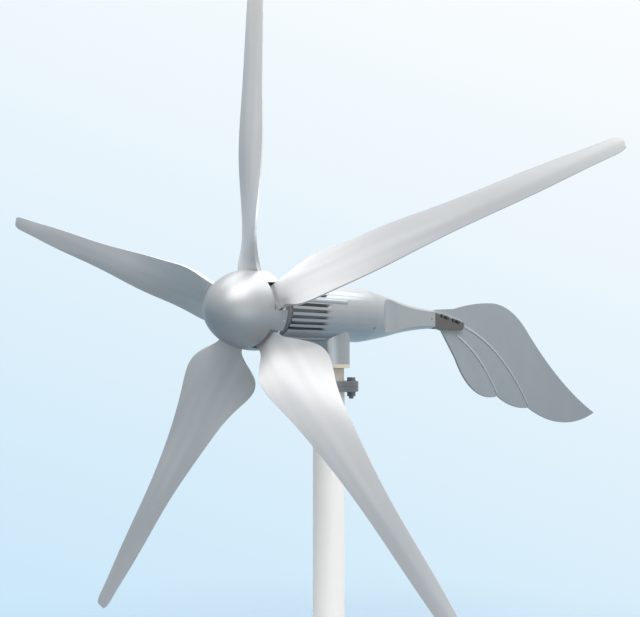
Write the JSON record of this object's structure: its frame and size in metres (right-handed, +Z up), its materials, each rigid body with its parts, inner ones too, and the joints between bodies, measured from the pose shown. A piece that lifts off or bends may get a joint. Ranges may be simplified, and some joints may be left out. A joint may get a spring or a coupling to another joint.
{
  "type": "small wind turbine",
  "caption": "Small horizontal-axis wind turbine: twisted blades in a bullet hub, finned generator casing that turns on a flanged mast, and a feather-shaped tail vane.",
  "frame": {"origin": "centre of the base flange's underside, on the mast axis", "axes": "+Z up the mast, -Y towards the wind and the nose cone, +Y along the tail"},
  "size_m": [1.4795, 1.909, 1.615],
  "materials": {
    "blade_plastic": "satin silver coat on a fibre-filled moulding",
    "cone_plastic": "satin silver coat",
    "casting": "satin silver coat on cast aluminium",
    "vane_metal": "satin grey coat",
    "dark_casting": "dark grey coat on cast aluminium",
    "hub_metal": "machined",
    "fastener_steel": "bright",
    "dark_steel": "dark zinc",
    "shaft_steel": "ground",
    "yaw_paint": "pale coat on steel",
    "bearing_steel": "ground",
    "magnet": "nickel plated",
    "core_steel": "laminated",
    "copper": "copper windings and carbon-copper brushes",
    "ring_brass": "turned",
    "insulator": "moulded",
    "seal_rubber": "moulded",
    "cap_ring": "pale coat",
    "mast_paint": "white coat on steel tube"
  },
  "bodies": {
    "mast": {"yaw_shaft": "yaw_paint", "yaw_circlip": "fastener_steel", "lower_yaw_bearing_inner_ring": "bearing_steel", "upper_yaw_bearing_inner_ring": "bearing_steel", "slip_ring_drum": "insulator", "slip_rings": "ring_brass", "upper_flange": "dark_steel", "mast_flange": "dark_steel", "flange_bolts": "dark_steel", "flange_washers": "dark_steel", "flange_nuts": "dark_steel", "mast_tube": "mast_paint", "base_flange": "mast_paint"},
    "head": {"main_casing": "casting", "front_cover": "dark_casting", "cover_bolts": "fastener_steel", "shaft_seal": "seal_rubber", "front_bearing_outer_ring": "bearing_steel", "front_bearing_balls": "bearing_steel", "rear_bearing_outer_ring": "bearing_steel", "rear_bearing_balls": "bearing_steel", "stator_core": "core_steel", "stator_coils": "copper", "rear_shell": "casting", "shell_screws": "fastener_steel", "tail_clamp_right": "dark_casting", "tail_clamp_left": "dark_casting", "tail_vane": "vane_metal", "tail_bolts": "fastener_steel", "tail_nuts": "fastener_steel", "tail_set_screws": "fastener_steel", "yaw_cap": "cap_ring", "yaw_seal": "seal_rubber", "cap_screws": "fastener_steel", "lower_yaw_bearing_outer_ring": "bearing_steel", "lower_yaw_bearing_balls": "bearing_steel", "upper_yaw_bearing_outer_ring": "bearing_steel", "upper_yaw_bearing_balls": "bearing_steel", "brushes": "copper", "brush_holder": "insulator"},
    "rotor": {"nose_cone": "cone_plastic", "nose_cone_screws": "fastener_steel", "hub_front_plate": "hub_metal", "hub_rear_plate": "hub_metal", "blade_1": "blade_plastic", "blade_2": "blade_plastic", "blade_3": "blade_plastic", "blade_4": "blade_plastic", "blade_5": "blade_plastic", "blade_bolts": "fastener_steel", "blade_nuts": "fastener_steel", "main_shaft": "shaft_steel", "shaft_key": "fastener_steel", "shaft_washer": "fastener_steel", "shaft_nut": "fastener_steel", "magnet_core": "core_steel", "magnets": "magnet", "front_bearing_inner_ring": "bearing_steel", "rear_bearing_inner_ring": "bearing_steel"}
  },
  "joints": [
    {"name": "yaw_turn", "type": "hinge", "parent": "mast", "child": "head", "pos_m": [0, 0, 0.84], "axis": [0, 0, 1], "continuous": true},
    {"name": "rotor_spin", "type": "hinge", "parent": "head", "child": "rotor", "pos_m": [0, -0.271, 0.84], "axis": [0, 1, 0], "continuous": true}
  ]
}
